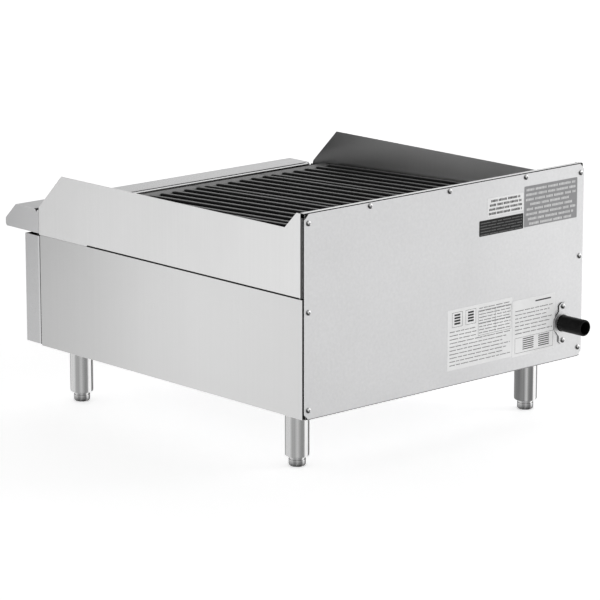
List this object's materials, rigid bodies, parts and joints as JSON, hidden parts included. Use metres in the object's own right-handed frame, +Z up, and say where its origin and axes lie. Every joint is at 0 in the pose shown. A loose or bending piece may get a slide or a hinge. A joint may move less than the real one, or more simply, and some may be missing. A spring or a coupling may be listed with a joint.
{
  "type": "gas charbroiler",
  "caption": "Countertop gas charbroiler: stainless box on legs with lift-off slanted cast-iron grates, side and back splashes, bullnose, knobs, drip tray and rear gas inlet.",
  "frame": {"origin": "on the counter, under the middle of the whole object's bounding box, bullnose and gas pipe included", "axes": "+X to the operator's right, -Y to the front (the operator), +Y to the rear, +Z up"},
  "size_m": [0.6096, 0.7864, 0.4143],
  "materials": {
    "body_stainless": "satin stainless sheet, fine grain, bright cut edges",
    "rear_panel_steel": "mill-finish steel sheet, faintly mottled, semi-matte",
    "leg_stainless": "round-brushed stainless",
    "grate_iron": "black cast iron, slightly worn along the bar tops",
    "radiant_iron": "dull cast iron",
    "liner_steel": "aluminised steel, dull",
    "black_iron_pipe": "black pipe, semi-matte",
    "brass": "machined brass",
    "bright_zinc": "bright zinc-plated screw",
    "knob_plastic": "black moulded phenolic"
  },
  "bodies": {
    "chassis": {"control_panel": "body_stainless", "firebox_front_wall": "liner_steel", "front_grate_rail": "liner_steel", "front_ledge": "body_stainless", "front_left_leg": "leg_stainless", "front_right_leg": "leg_stainless", "gas_inlet_pipe": "black_iron_pipe", "grease_trough": "body_stainless", "inlet_plate": "rear_panel_steel", "left_base_rail": "rear_panel_steel", "left_burner": "body_stainless", "left_firebox_liner": "liner_steel", "left_gas_valve": "brass", "left_orifice": "brass", "left_pilot": "liner_steel", "left_side_panel": "body_stainless", "left_side_splash": "body_stainless", "manifold_pipe": "black_iron_pipe", "plate_screw_1": "bright_zinc", "plate_screw_2": "bright_zinc", "radiant_1": "radiant_iron", "radiant_2": "radiant_iron", "radiant_3": "radiant_iron", "radiant_4": "radiant_iron", "rear_grate_rail": "liner_steel", "rear_left_leg": "leg_stainless", "rear_panel": "rear_panel_steel", "rear_right_leg": "leg_stainless", "rear_screw_1": "bright_zinc", "rear_screw_2": "bright_zinc", "rear_screw_3": "bright_zinc", "rear_screw_4": "bright_zinc", "rear_screw_5": "bright_zinc", "rear_screw_6": "bright_zinc", "rear_screw_7": "bright_zinc", "rear_screw_8": "bright_zinc", "rear_screw_9": "bright_zinc", "rear_splash": "body_stainless", "right_base_rail": "rear_panel_steel", "right_burner": "body_stainless", "right_firebox_liner": "liner_steel", "right_gas_valve": "brass", "right_orifice": "brass", "right_pilot": "liner_steel", "right_side_panel": "body_stainless", "right_side_splash": "body_stainless", "supply_pipe": "black_iron_pipe"},
    "grate_1": {"grate_1": "grate_iron"},
    "grate_2": {"grate_2": "grate_iron"},
    "grate_3": {"grate_3": "grate_iron"},
    "grate_4": {"grate_4": "grate_iron"},
    "drip_tray": {"drip_tray": "body_stainless"},
    "left_knob": {"left_knob": "knob_plastic"},
    "left_air_shutter": {"left_air_shutter": "liner_steel"},
    "right_knob": {"right_knob": "knob_plastic"},
    "right_air_shutter": {"right_air_shutter": "liner_steel"},
    "rear_left_foot": {"rear_left_foot": "leg_stainless"},
    "rear_right_foot": {"rear_right_foot": "leg_stainless"},
    "front_left_foot": {"front_left_foot": "leg_stainless"},
    "front_right_foot": {"front_right_foot": "leg_stainless"}
  },
  "joints": [
    {"name": "grate_1_lift", "type": "slide", "parent": "chassis", "child": "grate_1", "axis": [0, 0, 1], "range_m": [0, 0.12]},
    {"name": "grate_2_lift", "type": "slide", "parent": "chassis", "child": "grate_2", "axis": [0, 0, 1], "range_m": [0, 0.12]},
    {"name": "grate_3_lift", "type": "slide", "parent": "chassis", "child": "grate_3", "axis": [0, 0, 1], "range_m": [0, 0.12]},
    {"name": "grate_4_lift", "type": "slide", "parent": "chassis", "child": "grate_4", "axis": [0, 0, 1], "range_m": [0, 0.12]},
    {"name": "drip_tray_slide", "type": "slide", "parent": "chassis", "child": "drip_tray", "axis": [0, -1, 0], "range_m": [0, 0.5]},
    {"name": "left_knob_turn", "type": "hinge", "parent": "chassis", "child": "left_knob", "pos_m": [-0.15, -0.34375, 0.208], "axis": [0, -1, 0], "range_deg": [0, 90]},
    {"name": "right_knob_turn", "type": "hinge", "parent": "chassis", "child": "right_knob", "pos_m": [0.15, -0.34375, 0.208], "axis": [0, -1, 0], "range_deg": [0, 90]},
    {"name": "left_air_shutter_turn", "type": "hinge", "parent": "chassis", "child": "left_air_shutter", "pos_m": [-0.15, -0.27325, 0.208], "axis": [0, -1, 0], "range_deg": [0, 60]},
    {"name": "right_air_shutter_turn", "type": "hinge", "parent": "chassis", "child": "right_air_shutter", "pos_m": [0.15, -0.27325, 0.208], "axis": [0, -1, 0], "range_deg": [0, 60]},
    {"name": "rear_left_foot_level", "type": "slide", "parent": "chassis", "child": "rear_left_foot", "axis": [0, 0, -1], "range_m": [-0.006, 0.02]},
    {"name": "rear_right_foot_level", "type": "slide", "parent": "chassis", "child": "rear_right_foot", "axis": [0, 0, -1], "range_m": [-0.006, 0.02]},
    {"name": "front_left_foot_level", "type": "slide", "parent": "chassis", "child": "front_left_foot", "axis": [0, 0, -1], "range_m": [-0.006, 0.02]},
    {"name": "front_right_foot_level", "type": "slide", "parent": "chassis", "child": "front_right_foot", "axis": [0, 0, -1], "range_m": [-0.006, 0.02]}
  ]
}
